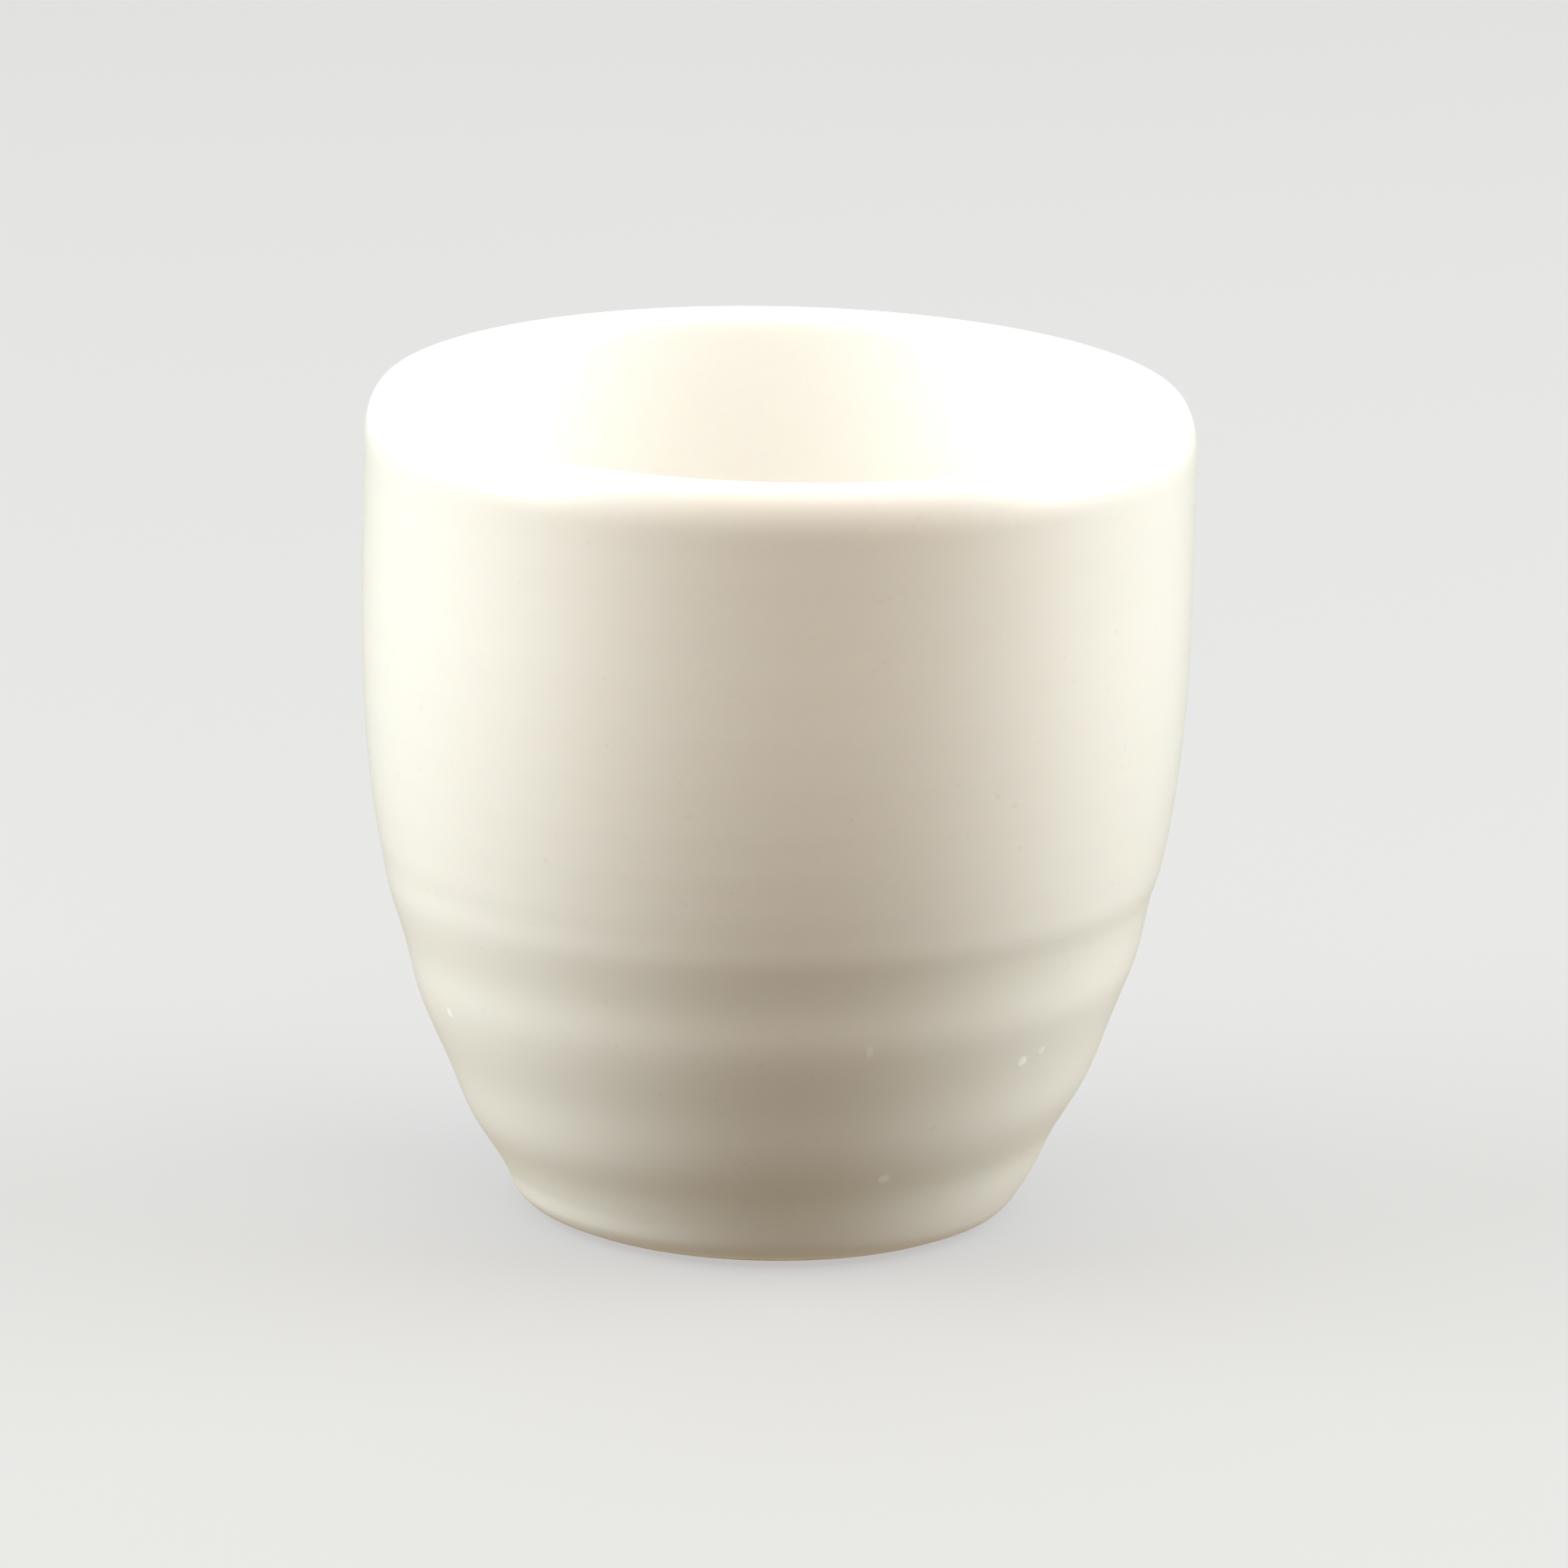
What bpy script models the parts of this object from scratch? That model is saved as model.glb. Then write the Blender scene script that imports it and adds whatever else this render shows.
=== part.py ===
"""Porcelain crucible: one thrown cup with a round lip, a drawn-in lower wall and a spiral finger groove.

The crucible is a single fired piece of glazed porcelain. It is turned from one profile, and then the
soft groove that the potter's finger leaves climbs the lower wall in a spiral. Units are metres, +Z is
up, and the origin is the centre of the foot, on the surface that the crucible stands on.
"""

import math

import bmesh
import bpy

MM = 0.001

# Driving dimensions
RIM_RADIUS = 25.0 * MM
HEIGHT = 50.3 * MM
LIP_THICKNESS = 2.4 * MM
FLOOR_THICKNESS = 4.0 * MM

# Lip: how far in from the outside its crest is, and how far down its outer rounding reaches
LIP_CREST_INSET = 1.4 * MM
LIP_OUTER_ROUND = 3.1 * MM

# Outer wall: upright above UPRIGHT_FROM, then drawn in towards the foot
UPRIGHT_FROM = 40.0 * MM
DRAW_IN = 10.5 * MM
DRAW_IN_POWER = 2.5

# Bowl: a superellipse from the lip down to the middle of the floor
BOWL_POWER = 3.0

# Foot: a round outer edge, a flat standing ring and a shallow hollow inside it
FOOT_EDGE_RADIUS = 3.4 * MM
FOOT_RING_INNER_RADIUS = 9.8 * MM
FOOT_HOLLOW_DEPTH = 0.8 * MM
FOOT_HOLLOW_SLOPE = 1.0 * MM

# Spiral groove: its lowest turn at the front (-Y), its rise in one turn, and where it fades
GROOVE_FRONT_HEIGHT = 4.3 * MM
GROOVE_PITCH = 7.0 * MM
GROOVE_STARTS = (0.8 * MM, 2.6 * MM)
GROOVE_ENDS = (20.0 * MM, 23.2 * MM)
# The depth of its lowest, middle and highest turn
GROOVE_DEPTHS = (0.25 * MM, 0.115 * MM, 0.185 * MM)

# How finely each stretch of the profile is divided
TURN_STEPS = 60
BOWL_STEPS = 12
LIP_INNER_STEPS = 3
LIP_OUTER_STEPS = 4
UPPER_WALL_STEPS = 4
GROOVED_WALL_STEPS = 20
FOOT_EDGE_STEPS = 3
WELD_DISTANCE = 0.001 * MM
SHARP_ANGLE = math.radians(40.0)

LIP_INNER_ROUND = LIP_THICKNESS - LIP_CREST_INSET
BOWL_TOP = HEIGHT - LIP_INNER_ROUND
BOWL_RADIUS = RIM_RADIUS - LIP_THICKNESS
BOWL_DEPTH = BOWL_TOP - FLOOR_THICKNESS


def start_empty():
    for item in list(bpy.data.objects):
        bpy.data.objects.remove(item, do_unlink=True)
    collection = bpy.data.collections.new("porcelain_crucible")
    bpy.context.scene.collection.children.link(collection)
    return collection


def between(start, end, steps):
    """The points that divide start to end into equal steps, without start itself."""
    return [start + (end - start) * i / steps for i in range(1, steps + 1)]


def smoothstep(start, end, value):
    share = min(max((value - start) / (end - start), 0.0), 1.0)
    return share * share * (3.0 - 2.0 * share)


def outer_radius(height):
    below = max(UPRIGHT_FROM - height, 0.0) / UPRIGHT_FROM
    return RIM_RADIUS - DRAW_IN * below**DRAW_IN_POWER


def outer_lean(height):
    """The wall's angle above the horizontal at this height: 90 degrees where it is upright."""
    below = max(UPRIGHT_FROM - height, 0.0) / UPRIGHT_FROM
    slope = DRAW_IN_POWER * DRAW_IN / UPRIGHT_FROM * below ** (DRAW_IN_POWER - 1.0)
    return math.atan2(1.0, slope)


def bowl_points():
    """The inside, from the middle of the floor up to the lip, as (radius, height)."""
    points = [(0.0, FLOOR_THICKNESS)]
    for angle in between(math.pi / 2, 0.0, BOWL_STEPS):
        radius = BOWL_RADIUS * math.cos(angle) ** (2.0 / BOWL_POWER)
        height = BOWL_TOP - BOWL_DEPTH * math.sin(angle) ** (2.0 / BOWL_POWER)
        points.append((radius, height))
    return points


def lip_points():
    """Over the rim: a quarter circle on the inside, and a taller quarter ellipse on the outside."""
    crest = RIM_RADIUS - LIP_CREST_INSET
    inner = [
        (crest - LIP_INNER_ROUND * math.cos(angle), HEIGHT - LIP_INNER_ROUND * (1.0 - math.sin(angle)))
        for angle in between(0.0, math.pi / 2, LIP_INNER_STEPS)
    ]
    outer = [
        (crest + LIP_CREST_INSET * math.cos(angle), HEIGHT - LIP_OUTER_ROUND * (1.0 - math.sin(angle)))
        for angle in between(math.pi / 2, 0.0, LIP_OUTER_STEPS)
    ]
    return inner + outer


def foot_edge_points():
    """The arc that is tangent to the outer wall above it and to the standing plane below it."""
    top = 0.0
    for _ in range(8):
        lean = outer_lean(top)
        top = FOOT_EDGE_RADIUS * (1.0 - math.cos(lean))
    centre = outer_radius(top) - FOOT_EDGE_RADIUS * math.sin(lean)
    return [
        (
            centre + FOOT_EDGE_RADIUS * math.sin(angle),
            FOOT_EDGE_RADIUS * (1.0 - math.cos(angle)),
        )
        for angle in [lean, *between(lean, 0.0, FOOT_EDGE_STEPS)]
    ]


def outer_wall_points(foot_top):
    """The outside between the lip and the foot's round edge, finer where the groove runs."""
    groove_top = GROOVE_ENDS[1]
    heights = between(HEIGHT - LIP_OUTER_ROUND, groove_top, UPPER_WALL_STEPS)
    heights += between(groove_top, foot_top, GROOVED_WALL_STEPS)[:-1]
    return [(outer_radius(height), height) for height in heights]


def underside_points():
    """From the inner edge of the standing ring to the middle of the hollow."""
    return [
        (FOOT_RING_INNER_RADIUS, 0.0),
        (FOOT_RING_INNER_RADIUS - FOOT_HOLLOW_SLOPE, FOOT_HOLLOW_DEPTH),
        (0.0, FOOT_HOLLOW_DEPTH),
    ]


def crucible_profile():
    foot_edge = foot_edge_points()
    foot_top = foot_edge[0][1]
    wall = outer_wall_points(foot_top)
    return bowl_points() + lip_points() + wall + foot_edge + underside_points()


def turned_mesh(profile, collection):
    """The profile turned once round Z, as one closed mesh."""
    outline = bpy.data.meshes.new("outline")
    edges = [(i, i + 1) for i in range(len(profile) - 1)]
    outline.from_pydata([(radius, 0.0, height) for radius, height in profile], edges, [])
    guide = bpy.data.objects.new("outline", outline)
    collection.objects.link(guide)
    screw = guide.modifiers.new("turn", "SCREW")
    screw.steps = TURN_STEPS
    screw.render_steps = TURN_STEPS
    screw.use_merge_vertices = True
    screw.merge_threshold = WELD_DISTANCE
    graph = bpy.context.evaluated_depsgraph_get()
    mesh = bpy.data.meshes.new_from_object(guide.evaluated_get(graph))
    bpy.data.objects.remove(guide, do_unlink=True)
    return mesh


def groove_depth(height):
    """How deep the groove is pressed at this height: its lowest, middle and highest turn all differ."""
    low, middle, high = GROOVE_DEPTHS
    middle_height = GROOVE_FRONT_HEIGHT + GROOVE_PITCH
    depth = low + (middle - low) * smoothstep(GROOVE_FRONT_HEIGHT, middle_height, height)
    depth += (high - middle) * smoothstep(middle_height, middle_height + GROOVE_PITCH, height)
    return depth * smoothstep(*GROOVE_STARTS, height) * (1.0 - smoothstep(*GROOVE_ENDS, height))


def groove_inset(angle, height):
    """How far the spiral moves the wall in, at this angle round from the front and this height."""
    turns = (height - GROOVE_FRONT_HEIGHT) / GROOVE_PITCH - angle / math.tau
    return groove_depth(height) * (0.5 + 0.5 * math.cos(math.tau * turns))


def press_groove(mesh):
    """Presses the spiral into the outer wall. The bowl and the underside stay as turned."""
    shape = bmesh.new()
    shape.from_mesh(mesh)
    bmesh.ops.remove_doubles(shape, verts=shape.verts, dist=WELD_DISTANCE)
    for vert in shape.verts:
        x, y, height = vert.co
        radius = math.hypot(x, y)
        if radius < outer_radius(height) - LIP_THICKNESS / 2:
            continue
        # The front is -Y, and the angle grows towards +X.
        share = 1.0 - groove_inset(math.atan2(x, -y), height) / radius
        vert.co.x = x * share
        vert.co.y = y * share
    shape.to_mesh(mesh)
    shape.free()


def glazed_porcelain():
    material = bpy.data.materials.new("glazed_porcelain")
    material.use_nodes = True
    shader = material.node_tree.nodes["Principled BSDF"]
    shader.inputs["Base Color"].default_value = (0.83, 0.81, 0.775, 1.0)
    shader.inputs["Roughness"].default_value = 0.28
    shader.inputs["Metallic"].default_value = 0.0
    return material


def crucible_body(collection):
    mesh = turned_mesh(crucible_profile(), collection)
    press_groove(mesh)
    mesh.name = "crucible_body"
    mesh.materials.append(glazed_porcelain())
    mesh.shade_smooth()
    mesh.set_sharp_from_angle(angle=SHARP_ANGLE)
    body = bpy.data.objects.new("crucible_body", mesh)
    collection.objects.link(body)
    return body


crucible_body(start_empty())
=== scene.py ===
"""The looks of the porcelain crucible: its fine thrown surface, its glaze, and a plain studio around it.

Everything is in metres in the CAD frame: +Z up, the foot's centre at the origin, and the front at -Y.
"""

import math

import bpy
import numpy as np
from mathutils import Matrix, Vector


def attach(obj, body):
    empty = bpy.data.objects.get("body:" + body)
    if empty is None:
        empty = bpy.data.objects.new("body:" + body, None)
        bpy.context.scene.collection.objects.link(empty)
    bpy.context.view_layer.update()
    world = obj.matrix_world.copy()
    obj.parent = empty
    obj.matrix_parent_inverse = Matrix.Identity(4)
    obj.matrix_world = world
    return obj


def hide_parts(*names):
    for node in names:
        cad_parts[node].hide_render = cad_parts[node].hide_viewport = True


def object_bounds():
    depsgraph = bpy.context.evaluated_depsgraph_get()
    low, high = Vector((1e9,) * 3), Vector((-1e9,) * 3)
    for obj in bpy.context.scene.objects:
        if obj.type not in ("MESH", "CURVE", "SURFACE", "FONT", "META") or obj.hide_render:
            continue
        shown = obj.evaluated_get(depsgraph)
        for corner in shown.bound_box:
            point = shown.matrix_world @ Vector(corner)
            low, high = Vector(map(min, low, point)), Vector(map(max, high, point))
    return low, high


MM = 0.001

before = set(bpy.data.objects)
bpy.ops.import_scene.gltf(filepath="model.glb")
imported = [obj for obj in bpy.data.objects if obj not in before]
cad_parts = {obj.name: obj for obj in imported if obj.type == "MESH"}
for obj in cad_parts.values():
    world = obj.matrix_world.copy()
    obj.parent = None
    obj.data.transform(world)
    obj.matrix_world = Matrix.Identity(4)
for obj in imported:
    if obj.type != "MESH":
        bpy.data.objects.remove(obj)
CAD_LOW, CAD_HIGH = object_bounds()

# The cup's own sizes. All are as in the CAD, but the slope into the foot's hollow is softer and wider.
RIM_RADIUS = (CAD_HIGH.x - CAD_LOW.x) / 2
HEIGHT = CAD_HIGH.z
LIP_THICKNESS = 2.4 * MM
LIP_CREST_INSET = 1.4 * MM
LIP_OUTER_ROUND = 3.1 * MM
FLOOR_THICKNESS = 4.0 * MM
UPRIGHT_FROM = 40.0 * MM
DRAW_IN = 10.5 * MM
DRAW_IN_POWER = 2.5
BOWL_POWER = 3.0
FOOT_EDGE_RADIUS = 3.4 * MM
FOOT_RING_INNER_RADIUS = 9.8 * MM
FOOT_HOLLOW_DEPTH = 0.8 * MM
FOOT_HOLLOW_SLOPE = 1.4 * MM
LIP_INNER_ROUND = LIP_THICKNESS - LIP_CREST_INSET
BOWL_TOP = HEIGHT - LIP_INNER_ROUND
BOWL_RADIUS = RIM_RADIUS - LIP_THICKNESS
BOWL_DEPTH = BOWL_TOP - FLOOR_THICKNESS

# The spiral groove that climbs the lower wall
GROOVE_FRONT_HEIGHT = 4.3 * MM
GROOVE_PITCH = 7.0 * MM
GROOVE_STARTS = (0.8 * MM, 2.6 * MM)
GROOVE_ENDS = (20.0 * MM, 23.2 * MM)
# The depth of its lowest, middle and highest turn
GROOVE_DEPTHS = (0.25 * MM, 0.115 * MM, 0.185 * MM)

# Fainter marks of the wheel: rings on the wall, and the finger's spiral inside the bowl
WALL_RING_PITCH = 2.9 * MM
WALL_RING_SWING = 0.0035 * MM
WALL_RING_DRIFT = 4.0 * MM
BOWL_RING_PITCH = 5.2 * MM
BOWL_RING_SWING = 0.02 * MM
BOWL_RINGS_FADE = (0.4 * HEIGHT, 0.85 * HEIGHT)
BOWL_RINGS_START = 6.0 * MM

# How far the wall is out of round, the angle of its widest place, and where that starts and is full
OUT_OF_ROUND = 0.05 * MM
OUT_OF_ROUND_ANGLE = 0.3
OUT_OF_ROUND_HEIGHTS = (0.3 * HEIGHT, HEIGHT)

# Glaze: the step at its lower edge, the heights that this runs over, how far up the bowl it pools,
# where it thins over the lip, where its whiter colour is also a painted highlight, and how much whiter
# the bowl's inside is painted, as painted light (0 usual, 1 as on the lip)
GLAZE_STEP = 0.07 * MM
GLAZE_ENDS = (0.25 * MM, 0.7 * MM)
GLAZE_POOL_TOP = 12.0 * MM
THIN_GLAZE_AND_PAINTED_HIGHLIGHT = (47.6 * MM, 49.6 * MM)
BOWL_PAINTED_LIGHT = 0.6

# How finely the mesh is divided: steps round the axis, and the spacing along the profile
TURN_STEPS = 240
COARSE = 0.45 * MM
MEDIUM = 0.27 * MM
FINE = 0.16 * MM
# How many points each smooth curve is worked out at before it is divided evenly
LONG_CURVE_POINTS = 4000
LIP_CURVE_POINTS = 800
EDGE_CURVE_POINTS = 400
# How many times the height where the foot's edge meets the wall is worked out again
TANGENT_PASSES = 8

# The stretches of the profile
BOWL, LIP, WALL, FOOT_EDGE, UNDERSIDE = range(5)

# Small beads in the glaze: degrees round from the front towards +X, height, radius, how many times
# taller than wide, and how white, a white that is partly the bead's own glaze and partly a painted glint
GLAZE_BEADS = [
    (23.1, 6.15 * MM, 0.54 * MM, 1.0, 1.0),
    (46.2, 13.05 * MM, 0.50 * MM, 1.0, 1.0),
    (50.5, 13.45 * MM, 0.42 * MM, 1.0, 0.7),
    (-62.5, 13.98 * MM, 0.46 * MM, 1.0, 0.9),
    (16.0, 15.32 * MM, 0.26 * MM, 2.6, 0.6),
    (-26.7, 48.5 * MM, 0.26 * MM, 1.0, 0.25),
    (32.7, 47.74 * MM, 0.28 * MM, 1.0, 0.25),
    (121.0, 9.4 * MM, 0.46 * MM, 1.0, 0.9),
    (158.0, 31.2 * MM, 0.30 * MM, 1.6, 0.5),
    (-139.0, 17.1 * MM, 0.48 * MM, 1.0, 0.8),
]
# How far out each bead stays fully white, a white that is partly a painted glint, as a share of its
# radius
BEAD_FLAT = 0.45

# The porcelain's colours
GLAZE_CLOUDS = ((0.820, 0.806, 0.766, 1.0), (0.832, 0.820, 0.784, 1.0))
FLECK_COLOUR = (0.66, 0.60, 0.48, 1.0)
FLECK_STRENGTH = 0.25
POOLED_COLOUR = (0.775, 0.765, 0.705, 1.0)
POOLED_STRENGTH = 0.5
# Whiter colour where the glaze thins: partly a painted highlight on the lip, and painted light inside the
# bowl
THIN_GLAZE_AND_PAINTED_LIGHT_COLOUR = (0.89, 0.89, 0.88, 1.0)
# The beads' white: partly their own whiter glaze, partly a painted glint
BEAD_AND_PAINTED_GLINT_COLOUR = (0.99, 0.99, 0.975, 1.0)
BISCUIT_GRAIN = ((0.72, 0.67, 0.58, 1.0), (0.80, 0.76, 0.67, 1.0))

# How rough it is: the glaze from its glossiest to its dullest, and what the bare clay and a bead change
GLAZE_ROUGHNESS = (0.28, 0.31)
BARE_ROUGHNESS = 0.45
BEAD_ROUGHNESS = 0.12

# How high its small bumps stand
RIPPLE_HEIGHT = 0.006 * MM
PEEL_HEIGHT = 0.0022 * MM
BEAD_HEIGHT = 0.025 * MM
GRAIN_HEIGHT = 0.02 * MM

# How light spreads inside it
REFRACTION = 1.5
SPREAD_SHARE = 0.35
SPREAD_COLOURS = (1.0, 0.8, 0.55)
SPREAD_DISTANCE = 1.2 * MM

# The glaze's ragged edge above the standing ring
RAGGED_EDGE = 0.12 * MM
RING_INNER_EDGE = (FOOT_RING_INNER_RADIUS - 0.7 * MM, FOOT_RING_INNER_RADIUS - 0.3 * MM)

# Soft boxes: name, degrees round from the rig's front, degrees up, distance, watts, and colour
RIG_TURN = 5.0
BOX_SIZE = (0.6, 0.5)
BOXES = [
    ("side_box_left", -90.0, 25.0, 0.65, 6.0, (0.94, 1.0, 0.985)),
    ("side_box_right", 90.0, 25.0, 0.65, 6.0, (0.94, 1.0, 0.985)),
    ("front_box", 0.0, 65.0, 0.70, 1.05, (1.0, 0.45, 0.02)),
    ("rear_box", 180.0, 60.0, 0.70, 1.42, (0.66, 0.91, 1.0)),
]

# The air's light: how far up each direction points, from -1 to 1, and its colour
AIR_STRENGTH = 1.27
AIR_BANDS = [
    (-0.45, (0.352, 0.287, 0.206)),
    (-0.15, (0.0, 0.0, 0.0)),
    (0.45, (0.0, 0.0, 0.0)),
    (0.6, (1.0, 0.946, 0.857)),
]

# Floor: how far it lies flat, the bend up to the far wall, that wall's top, and how finely it is divided
FLOOR_REACH = 2.2
FLOOR_BEND = 0.8
WALL_TOP = 2.4
FLOOR_STEPS = 96
FLOOR_RINGS = 12
FLOOR_BEND_STEPS = 16
# Its two shades of grey, its own glow, and its gap below the foot, so that the two never lie in one plane
FLOOR_SHADES = ((0.150, 0.1515, 0.154, 1.0), (0.158, 0.1595, 0.162, 1.0))
FLOOR_GLOW = 0.47
FLOOR_GAP = 0.02 * MM

# Camera
CAMERA_DISTANCE = 0.8
CAMERA_ELEVATION = math.radians(14.55)
CAMERA_ROLL = math.radians(1.27)
CAMERA_AIM = Vector((0.67 * MM, 0.0, 26.1 * MM))
CAMERA_LENS = 304.7
CAMERA_SENSOR = 36.0
CAMERA_CLIP = (0.01, 20.0)


def smoothstep(start, end, value):
    share = np.clip((value - start) / (end - start), 0.0, 1.0)
    return share * share * (3.0 - 2.0 * share)


def outer_radius(height):
    below = np.maximum(UPRIGHT_FROM - height, 0.0) / UPRIGHT_FROM
    return RIM_RADIUS - DRAW_IN * below**DRAW_IN_POWER


def outer_lean(height):
    """The wall's angle above the horizontal: a quarter turn where it is upright."""
    below = max(UPRIGHT_FROM - height, 0.0) / UPRIGHT_FROM
    slope = DRAW_IN_POWER * DRAW_IN / UPRIGHT_FROM * below ** (DRAW_IN_POWER - 1.0)
    return math.atan2(1.0, slope)


def bowl_curve():
    """The inside, from the middle of the floor up to the lip."""
    angle = np.linspace(math.pi / 2, 0.0, LONG_CURVE_POINTS)
    radius = BOWL_RADIUS * np.cos(angle) ** (2.0 / BOWL_POWER)
    radius[0] = 0.0
    return radius, BOWL_TOP - BOWL_DEPTH * np.sin(angle) ** (2.0 / BOWL_POWER)


def lip_curve():
    """Over the rim: a quarter circle on the inside, and a taller quarter ellipse on the outside."""
    angle = np.linspace(math.pi, 0.0, LIP_CURVE_POINTS)
    inside = angle > math.pi / 2
    across = np.where(inside, LIP_INNER_ROUND, LIP_CREST_INSET)
    down = np.where(inside, LIP_INNER_ROUND, LIP_OUTER_ROUND)
    crest = RIM_RADIUS - LIP_CREST_INSET
    return crest + across * np.cos(angle), HEIGHT - down * (1.0 - np.sin(angle))


def foot_edge_curve():
    """The arc that is tangent to the outer wall above it and to the standing plane below it."""
    top = 0.0
    for _ in range(TANGENT_PASSES):
        lean = outer_lean(top)
        top = FOOT_EDGE_RADIUS * (1.0 - math.cos(lean))
    angle = np.linspace(lean, 0.0, EDGE_CURVE_POINTS)
    centre = outer_radius(top) - FOOT_EDGE_RADIUS * math.sin(lean)
    return centre + FOOT_EDGE_RADIUS * np.sin(angle), FOOT_EDGE_RADIUS * (1.0 - np.cos(angle))


def wall_curve(foot_top):
    height = np.linspace(HEIGHT - LIP_OUTER_ROUND, foot_top, LONG_CURVE_POINTS)
    return outer_radius(height), height


def underside_curve(ring_outer_radius):
    """The standing ring, then the soft step into the hollow, and on to its middle."""
    radius = np.linspace(ring_outer_radius, 0.0, LONG_CURVE_POINTS)
    inside = smoothstep(0.0, FOOT_HOLLOW_SLOPE, FOOT_RING_INNER_RADIUS - radius)
    return radius, FOOT_HOLLOW_DEPTH * inside


def resampled(curve, spacing):
    """The curve's points at even steps of about this spacing, ends included."""
    radius, height = curve
    along = np.concatenate([[0.0], np.cumsum(np.hypot(np.diff(radius), np.diff(height)))])
    steps = np.linspace(0.0, along[-1], max(2, round(along[-1] / spacing)) + 1)
    return np.interp(steps, along, radius), np.interp(steps, along, height)


def fine_profile():
    """The radius, the height and the stretch of every ring, from the bowl's floor to the underside."""
    edge = foot_edge_curve()
    stretches = [
        (BOWL, bowl_curve(), COARSE),
        (LIP, lip_curve(), FINE),
        (WALL, wall_curve(edge[1][0]), MEDIUM),
        (FOOT_EDGE, edge, FINE),
        (UNDERSIDE, underside_curve(edge[0][-1]), MEDIUM),
    ]
    radii, heights, zones = [], [], []
    for zone, curve, spacing in stretches:
        radius, height = resampled(curve, spacing)
        # Each stretch starts where the last one ended, so its first point is left out.
        first = 0 if zone == BOWL else 1
        radii.append(radius[first:])
        heights.append(height[first:])
        zones.append(np.full(len(radius) - first, zone))
    return np.concatenate(radii), np.concatenate(heights), np.concatenate(zones)


def outward_normals(radius, height):
    """The profile's unit normals, pointing out of the porcelain."""
    along_r = np.gradient(radius)
    along_z = np.gradient(height)
    length = np.hypot(along_r, along_z)
    return -along_z / length, along_r / length


def groove_depth(height):
    """How deep the groove is pressed at this height: its lowest, middle and highest turn all differ."""
    low, middle, high = GROOVE_DEPTHS
    middle_height = GROOVE_FRONT_HEIGHT + GROOVE_PITCH
    depth = low + (middle - low) * smoothstep(GROOVE_FRONT_HEIGHT, middle_height, height)
    depth = depth + (high - middle) * smoothstep(middle_height, middle_height + GROOVE_PITCH, height)
    return depth * smoothstep(*GROOVE_STARTS, height) * (1.0 - smoothstep(*GROOVE_ENDS, height))


def wall_relief(angle, height):
    """How far the outer wall stands out, from the spiral groove and the fainter wheel marks."""
    phase = math.tau * (height - GROOVE_FRONT_HEIGHT) / GROOVE_PITCH - angle
    groove = -groove_depth(height) * (0.5 + 0.5 * np.cos(phase))
    ring_phase = math.tau * height / WALL_RING_PITCH - angle + np.sin(height / WALL_RING_DRIFT)
    return groove + WALL_RING_SWING * np.sin(ring_phase)


def bowl_relief(angle, radius, height):
    """The finger's spiral inside the bowl, which fades towards the lip and the middle of the floor."""
    strength = 1.0 - smoothstep(*BOWL_RINGS_FADE, height)
    strength = strength * smoothstep(0.0, BOWL_RINGS_START, radius)
    travelled = height - radius
    return BOWL_RING_SWING * strength * np.cos(math.tau * travelled / BOWL_RING_PITCH + angle)


def glaze_depth_and_painted_light_at(zone, angle, height):
    """The glaze's depth and painted light: 0 for the thinnest glaze, 0.5 usual and 1 pooled, in the
    groove and on the bowl's floor. The lip's thinner glaze is partly a painted highlight, and the bowl's
    inside is made whiter in the same way as painted light.
    """
    in_groove = -wall_relief(angle, height) / max(GROOVE_DEPTHS)
    on_floor = 1.0 - smoothstep(FLOOR_THICKNESS, GLAZE_POOL_TOP, height)
    pooled = np.where(zone == WALL, in_groove, 0.0) + np.where(zone == BOWL, on_floor, 0.0)
    # Whiter where the glaze thins on the lip, partly as a painted highlight, and across the bowl's inside
    # as painted light.
    thin_glaze_and_painted_light = np.maximum(smoothstep(*THIN_GLAZE_AND_PAINTED_HIGHLIGHT, height), np.where(zone == BOWL, BOWL_PAINTED_LIGHT, 0.0))
    return np.clip(0.5 + 0.5 * pooled - 0.5 * thin_glaze_and_painted_light, 0.0, 1.0)


def crucible_rings():
    """The rings of points as (rings, steps, 3), and the glaze's depth, with its painted light, at each
    point.
    """
    radius, height, zone = fine_profile()
    normal_r, normal_z = outward_normals(radius, height)
    angle = np.arange(TURN_STEPS) * math.tau / TURN_STEPS
    r, z, zone = radius[:, None], height[:, None], zone[:, None]
    relief = np.where((zone == WALL) | (zone == FOOT_EDGE), wall_relief(angle, z), 0.0)
    relief = relief + np.where(zone == BOWL, bowl_relief(angle, r, z), 0.0)
    # The glaze stops just above the standing ring, where its edge makes a small step.
    bare = (1.0 - smoothstep(*GLAZE_ENDS, z)) * smoothstep(0.0, GLAZE_ENDS[0], z)
    relief = relief - np.where(zone == FOOT_EDGE, GLAZE_STEP * bare, 0.0)
    oval = np.cos(2.0 * (angle - OUT_OF_ROUND_ANGLE)) * smoothstep(*OUT_OF_ROUND_HEIGHTS, z)
    wobble = np.where((r > 0.0) & (zone != UNDERSIDE), OUT_OF_ROUND * oval, 0.0)
    ring_radius = r + normal_r[:, None] * relief + wobble
    ring_height = z + normal_z[:, None] * relief
    # The angle is counted from the front, -Y, towards +X.
    points = np.stack([ring_radius * np.sin(angle), -ring_radius * np.cos(angle), ring_height], axis=-1)
    return points, glaze_depth_and_painted_light_at(zone, angle, z)


def one_per_point(rings):
    """The rings' values in one list, where the first and the last ring are single points on the axis."""
    inner = rings[1:-1].reshape(-1, *rings.shape[2:])
    return np.concatenate([rings[0, :1], inner, rings[-1, :1]])


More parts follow.
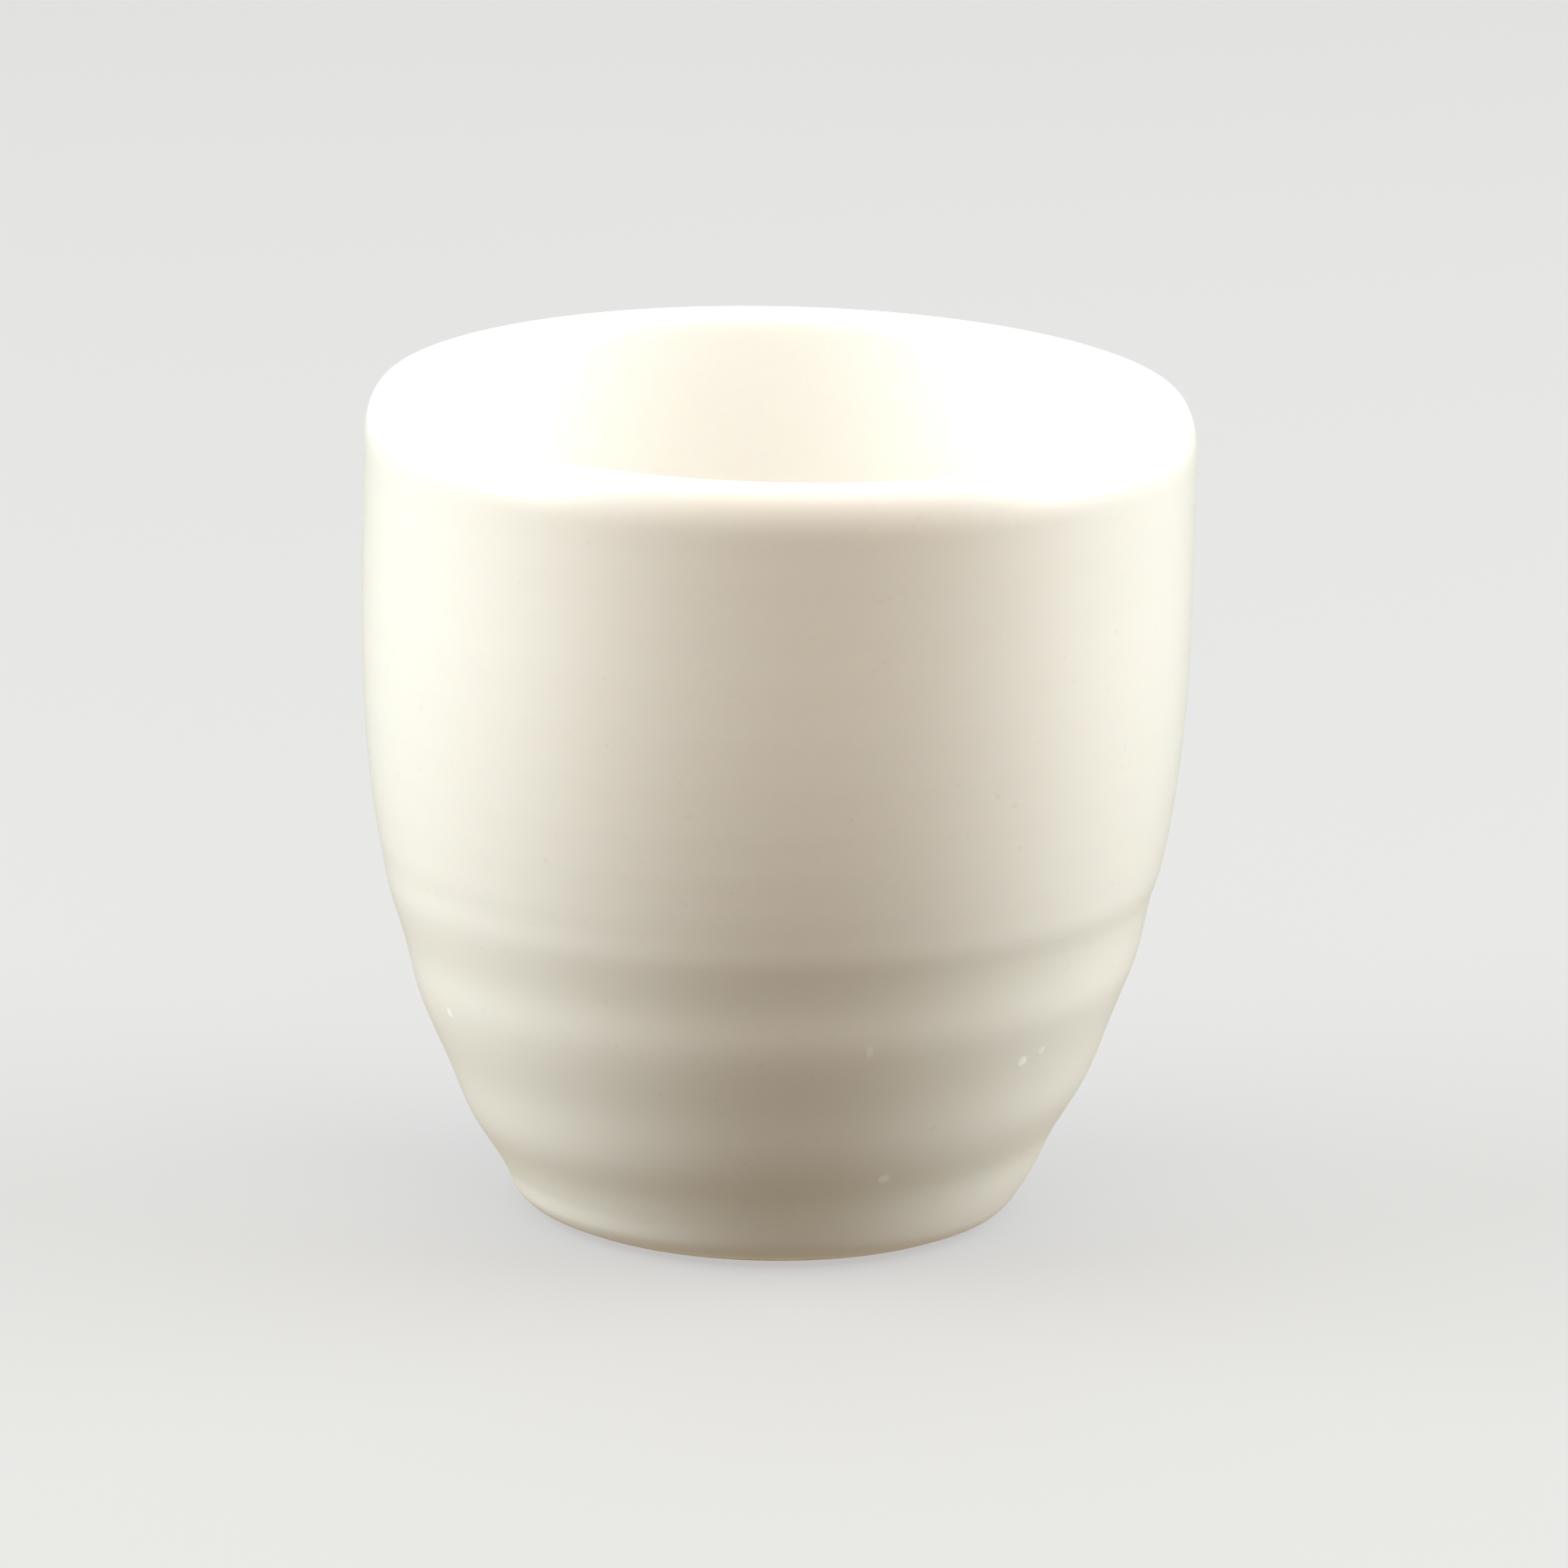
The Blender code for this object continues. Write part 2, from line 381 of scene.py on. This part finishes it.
def closed_mesh(name, rings):
    """A closed mesh from rings of points, which starts and ends in single points on the axis."""
    count = len(rings)
    points = one_per_point(rings)
    last = len(points) - 1

    def at(ring, step):
        return 1 + (ring - 1) * TURN_STEPS + step % TURN_STEPS

    faces = []
    for step in range(TURN_STEPS):
        faces.append((0, at(1, step), at(1, step + 1)))
        faces.append((last, at(count - 2, step + 1), at(count - 2, step)))
    for ring in range(1, count - 2):
        for step in range(TURN_STEPS):
            faces.append((at(ring, step), at(ring + 1, step), at(ring + 1, step + 1), at(ring, step + 1)))
    mesh = bpy.data.meshes.new(name)
    mesh.from_pydata(points.tolist(), [], faces)
    mesh.shade_smooth()
    return mesh


def link(obj):
    bpy.context.scene.collection.objects.link(obj)
    return obj


class Nodes:
    """A short way to add nodes to one material and to join them."""

    def __init__(self, material):
        material.use_nodes = True
        self.tree = material.node_tree
        self.shader = self.tree.nodes["Principled BSDF"]
        coordinates = self.tree.nodes.new("ShaderNodeTexCoord")
        self.position = coordinates.outputs["Object"]

    def set(self, socket, value):
        if isinstance(value, bpy.types.NodeSocket):
            self.tree.links.new(value, socket)
        else:
            socket.default_value = value

    def attribute(self, name):
        node = self.tree.nodes.new("ShaderNodeAttribute")
        node.attribute_name = name
        return node.outputs["Fac"]

    def math(self, operation, first, second):
        node = self.tree.nodes.new("ShaderNodeMath")
        node.operation = operation
        self.set(node.inputs[0], first)
        self.set(node.inputs[1], second)
        return node.outputs[0]

    def vector_math(self, operation, first, second):
        node = self.tree.nodes.new("ShaderNodeVectorMath")
        node.operation = operation
        self.set(node.inputs[0], first)
        self.set(node.inputs[1], second)
        return node.outputs["Vector"]

    def length(self, vector):
        node = self.tree.nodes.new("ShaderNodeVectorMath")
        node.operation = "LENGTH"
        self.set(node.inputs[0], vector)
        return node.outputs["Value"]

    def noise(self, scale, detail=3.0, roughness=0.5, stretch=(1.0, 1.0, 1.0)):
        moved = self.vector_math("MULTIPLY", self.position, stretch)
        node = self.tree.nodes.new("ShaderNodeTexNoise")
        node.inputs["Scale"].default_value = scale
        node.inputs["Detail"].default_value = detail
        node.inputs["Roughness"].default_value = roughness
        self.set(node.inputs["Vector"], moved)
        return node.outputs["Fac"]

    def remap(self, value, low, high, to_low, to_high, smooth=False):
        node = self.tree.nodes.new("ShaderNodeMapRange")
        node.interpolation_type = "SMOOTHSTEP" if smooth else "LINEAR"
        self.set(node.inputs["Value"], value)
        limits = {"From Min": low, "From Max": high, "To Min": to_low, "To Max": to_high}
        for name, number in limits.items():
            node.inputs[name].default_value = number
        return node.outputs["Result"]

    def mix(self, share, first, second):
        node = self.tree.nodes.new("ShaderNodeMix")
        node.data_type = "RGBA"
        self.set(node.inputs["Factor"], share)
        self.set(node.inputs[6], first)
        self.set(node.inputs[7], second)
        return node.outputs[2]

    def bump(self, height, distance, normal=None):
        node = self.tree.nodes.new("ShaderNodeBump")
        node.inputs["Distance"].default_value = distance
        self.set(node.inputs["Height"], height)
        if normal is not None:
            self.set(node.inputs["Normal"], normal)
        return node.outputs["Normal"]


def bead_and_painted_glint_mask(nodes):
    """How white each bead in the glaze is at its middle, falling to 0 at its edge. The white is partly a
    painted glint, and the same mask shapes the beads' bumps and gloss.
    """
    mask = None
    for degrees, height, size, tall, white in GLAZE_BEADS:
        angle = math.radians(degrees)
        radius = float(outer_radius(np.float64(height)))
        middle = (radius * math.sin(angle), -radius * math.cos(angle), height)
        offset = nodes.vector_math("SUBTRACT", nodes.position, middle)
        squeezed = nodes.vector_math("MULTIPLY", offset, (1.0, 1.0, 1.0 / tall))
        away = nodes.length(squeezed)
        bead = nodes.remap(away, BEAD_FLAT * size, size, white, 0.0, smooth=True)
        mask = bead if mask is None else nodes.math("MAXIMUM", mask, bead)
    return mask


def bare_foot_mask(nodes):
    """1 on the unglazed standing ring, 0 on the glaze."""
    split = nodes.tree.nodes.new("ShaderNodeSeparateXYZ")
    nodes.set(split.inputs[0], nodes.position)
    flat = nodes.vector_math("MULTIPLY", nodes.position, (1.0, 1.0, 0.0))
    from_axis = nodes.length(flat)
    ragged = nodes.remap(nodes.noise(900.0), 0.3, 0.7, -RAGGED_EDGE, RAGGED_EDGE)
    height = nodes.math("ADD", split.outputs["Z"], ragged)
    low = nodes.remap(height, GLAZE_ENDS[0], GLAZE_ENDS[0] + RAGGED_EDGE, 1.0, 0.0)
    ring = nodes.remap(from_axis, *RING_INNER_EDGE, 0.0, 1.0)
    return nodes.math("MULTIPLY", low, ring)


def glazed_porcelain():
    """A cream-white body under a clear, softly glossy glaze, left bare on the standing ring."""
    material = bpy.data.materials.new("glazed_porcelain")
    nodes = Nodes(material)
    shader = nodes.shader
    bead = bead_and_painted_glint_mask(nodes)
    bare = bare_foot_mask(nodes)

    clouds = nodes.remap(nodes.noise(45.0, 1.0), 0.2, 0.8, 0.0, 1.0)
    glaze = nodes.mix(clouds, *GLAZE_CLOUDS)
    flecks = nodes.remap(nodes.noise(1500.0, 1.0), 0.74, 0.80, 0.0, FLECK_STRENGTH)
    glaze = nodes.mix(flecks, glaze, FLECK_COLOUR)
    # Pooled glaze above 0.5; below it, whiter colour that is partly a painted highlight on the lip and
    # painted light inside the bowl.
    depth = nodes.attribute("glaze_depth_and_painted_light")
    glaze = nodes.mix(nodes.remap(depth, 0.5, 1.0, 0.0, POOLED_STRENGTH), glaze, POOLED_COLOUR)
    glaze = nodes.mix(nodes.remap(depth, 0.0, 0.5, 1.0, 0.0), glaze, THIN_GLAZE_AND_PAINTED_LIGHT_COLOUR)
    # The beads are whiter partly for their own glaze and partly as a painted glint.
    glaze = nodes.mix(bead, glaze, BEAD_AND_PAINTED_GLINT_COLOUR)
    grain = nodes.remap(nodes.noise(2600.0, 4.0, 0.7), 0.3, 0.7, 0.0, 1.0)
    biscuit = nodes.mix(grain, *BISCUIT_GRAIN)
    nodes.set(shader.inputs["Base Color"], nodes.mix(bare, glaze, biscuit))

    gloss = nodes.remap(nodes.noise(90.0, 1.0), 0.2, 0.8, *GLAZE_ROUGHNESS)
    gloss = nodes.math("ADD", gloss, nodes.math("MULTIPLY", bare, BARE_ROUGHNESS))
    gloss = nodes.math("SUBTRACT", gloss, nodes.math("MULTIPLY", bead, BEAD_ROUGHNESS))
    nodes.set(shader.inputs["Roughness"], gloss)

    ripple = nodes.bump(nodes.noise(220.0, 1.0, 0.4, (1.0, 1.0, 1.6)), RIPPLE_HEIGHT)
    peel = nodes.bump(nodes.noise(1400.0, 1.0), PEEL_HEIGHT, ripple)
    beads = nodes.bump(bead, BEAD_HEIGHT, peel)
    rough = nodes.bump(nodes.math("MULTIPLY", grain, bare), GRAIN_HEIGHT, beads)
    nodes.set(shader.inputs["Normal"], rough)

    shader.inputs["IOR"].default_value = REFRACTION
    shader.inputs["Subsurface Weight"].default_value = SPREAD_SHARE
    shader.inputs["Subsurface Radius"].default_value = SPREAD_COLOURS
    shader.inputs["Subsurface Scale"].default_value = SPREAD_DISTANCE
    return material


def glazed_crucible():
    rings, glaze_depth_and_painted_light = crucible_rings()
    mesh = closed_mesh("glazed_crucible", rings)
    attribute = mesh.attributes.new("glaze_depth_and_painted_light", "FLOAT", "POINT")
    attribute.data.foreach_set("value", one_per_point(glaze_depth_and_painted_light))
    mesh.materials.append(glazed_porcelain())
    return link(bpy.data.objects.new("glazed_crucible", mesh))


def pale_floor():
    """A wide pale disc that turns up into a far wall, so that every view has a plain backdrop."""
    flat = [(FLOOR_REACH * i / FLOOR_RINGS, 0.0) for i in range(FLOOR_RINGS + 1)]
    bend = [
        (FLOOR_REACH + FLOOR_BEND * math.sin(angle), FLOOR_BEND * (1.0 - math.cos(angle)))
        for angle in np.linspace(0.0, math.pi / 2, FLOOR_BEND_STEPS + 1)[1:]
    ]
    profile = flat + bend + [(FLOOR_REACH + FLOOR_BEND, WALL_TOP)]
    points = [(0.0, 0.0, 0.0)]
    for radius, height in profile[1:]:
        for step in range(FLOOR_STEPS):
            angle = math.tau * step / FLOOR_STEPS
            points.append((radius * math.cos(angle), radius * math.sin(angle), height))
    faces = [(0, 1 + step, 1 + (step + 1) % FLOOR_STEPS) for step in range(FLOOR_STEPS)]
    for ring in range(len(profile) - 2):
        inner = 1 + ring * FLOOR_STEPS
        outer = inner + FLOOR_STEPS
        for step in range(FLOOR_STEPS):
            after = (step + 1) % FLOOR_STEPS
            faces.append((inner + step, outer + step, outer + after, inner + after))
    mesh = bpy.data.meshes.new("studio_floor")
    mesh.from_pydata(points, [], faces)
    mesh.shade_smooth()
    material = bpy.data.materials.new("studio_floor")
    nodes = Nodes(material)
    tint = nodes.remap(nodes.noise(3.0, 2.0), 0.3, 0.7, 0.0, 1.0)
    nodes.set(nodes.shader.inputs["Base Color"], nodes.mix(tint, *FLOOR_SHADES))
    nodes.shader.inputs["Roughness"].default_value = 0.9
    nodes.shader.inputs["Specular IOR Level"].default_value = 0.1
    nodes.shader.inputs["Emission Color"].default_value = (1.0, 1.0, 1.0, 1.0)
    nodes.shader.inputs["Emission Strength"].default_value = FLOOR_GLOW
    mesh.materials.append(material)
    floor = link(bpy.data.objects.new("studio_floor", mesh))
    floor.location.z = -FLOOR_GAP
    # The floor shows and takes shadows. The air's lowest band stands for the light it throws back up.
    floor.visible_diffuse = False
    floor.visible_glossy = False
    floor.visible_shadow = False
    return floor


def soft_box(name, place, aim, width, height, watts, colour):
    lamp = bpy.data.lights.new(name, "AREA")
    lamp.shape = "RECTANGLE"
    lamp.size = width
    lamp.size_y = height
    lamp.energy = watts
    lamp.color = colour
    obj = link(bpy.data.objects.new(name, lamp))
    obj.location = place
    obj.rotation_mode = "QUATERNION"
    obj.rotation_quaternion = (aim - place).to_track_quat("-Z", "Y")
    obj.visible_camera = False
    return obj


def studio_lights():
    """Soft boxes at both sides, high in front and high behind, all turned a little to the right."""
    middle = Vector((0.0, 0.0, HEIGHT / 2))
    for name, degrees, degrees_up, distance, watts, colour in BOXES:
        turn = math.radians(RIG_TURN + degrees)
        rise = math.radians(degrees_up)
        level = math.cos(rise)
        towards = Vector((math.sin(turn) * level, -math.cos(turn) * level, math.sin(rise)))
        soft_box(name, middle + distance * towards, middle, *BOX_SIZE, watts, colour)


def studio_air():
    """Soft light from overhead and a little from below, and none from the sides."""
    world = bpy.data.worlds.new("studio_air")
    world.use_nodes = True
    tree = world.node_tree
    split = tree.nodes.new("ShaderNodeSeparateXYZ")
    tree.links.new(tree.nodes.new("ShaderNodeTexCoord").outputs["Generated"], split.inputs[0])
    upward = tree.nodes.new("ShaderNodeMapRange")
    upward.inputs["From Min"].default_value = -1.0
    tree.links.new(split.outputs["Z"], upward.inputs["Value"])
    bands = tree.nodes.new("ShaderNodeValToRGB")
    bands.color_ramp.interpolation = "EASE"
    stops = bands.color_ramp.elements
    while len(stops) < len(AIR_BANDS):
        stops.new(1.0)
    for stop, (height, colour) in zip(stops, AIR_BANDS):
        stop.position = (height + 1.0) / 2.0
        stop.color = (*colour, 1.0)
    tree.links.new(upward.outputs["Result"], bands.inputs["Fac"])
    background = tree.nodes["Background"]
    tree.links.new(bands.outputs["Color"], background.inputs["Color"])
    background.inputs["Strength"].default_value = AIR_STRENGTH
    bpy.context.scene.world = world


def photograph_camera():
    data = bpy.data.cameras.new("camera")
    data.lens = CAMERA_LENS
    data.sensor_width = CAMERA_SENSOR
    data.clip_start, data.clip_end = CAMERA_CLIP
    camera = link(bpy.data.objects.new("camera", data))
    ahead = Vector((0.0, math.cos(CAMERA_ELEVATION), -math.sin(CAMERA_ELEVATION)))
    right = Vector((1.0, 0.0, 0.0))
    up = right.cross(ahead)
    tilted_right = right * math.cos(CAMERA_ROLL) + up * math.sin(CAMERA_ROLL)
    tilted_up = up * math.cos(CAMERA_ROLL) - right * math.sin(CAMERA_ROLL)
    turn = Matrix((tilted_right, tilted_up, -ahead)).transposed()
    camera.matrix_world = Matrix.Translation(CAMERA_AIM - ahead * CAMERA_DISTANCE) @ turn.to_4x4()
    bpy.context.scene.camera = camera


crucible = glazed_crucible()
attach(crucible, "root")
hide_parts("crucible_body")

pale_floor()
studio_lights()
studio_air()
photograph_camera()
bpy.context.scene.view_settings.view_transform = "Standard"
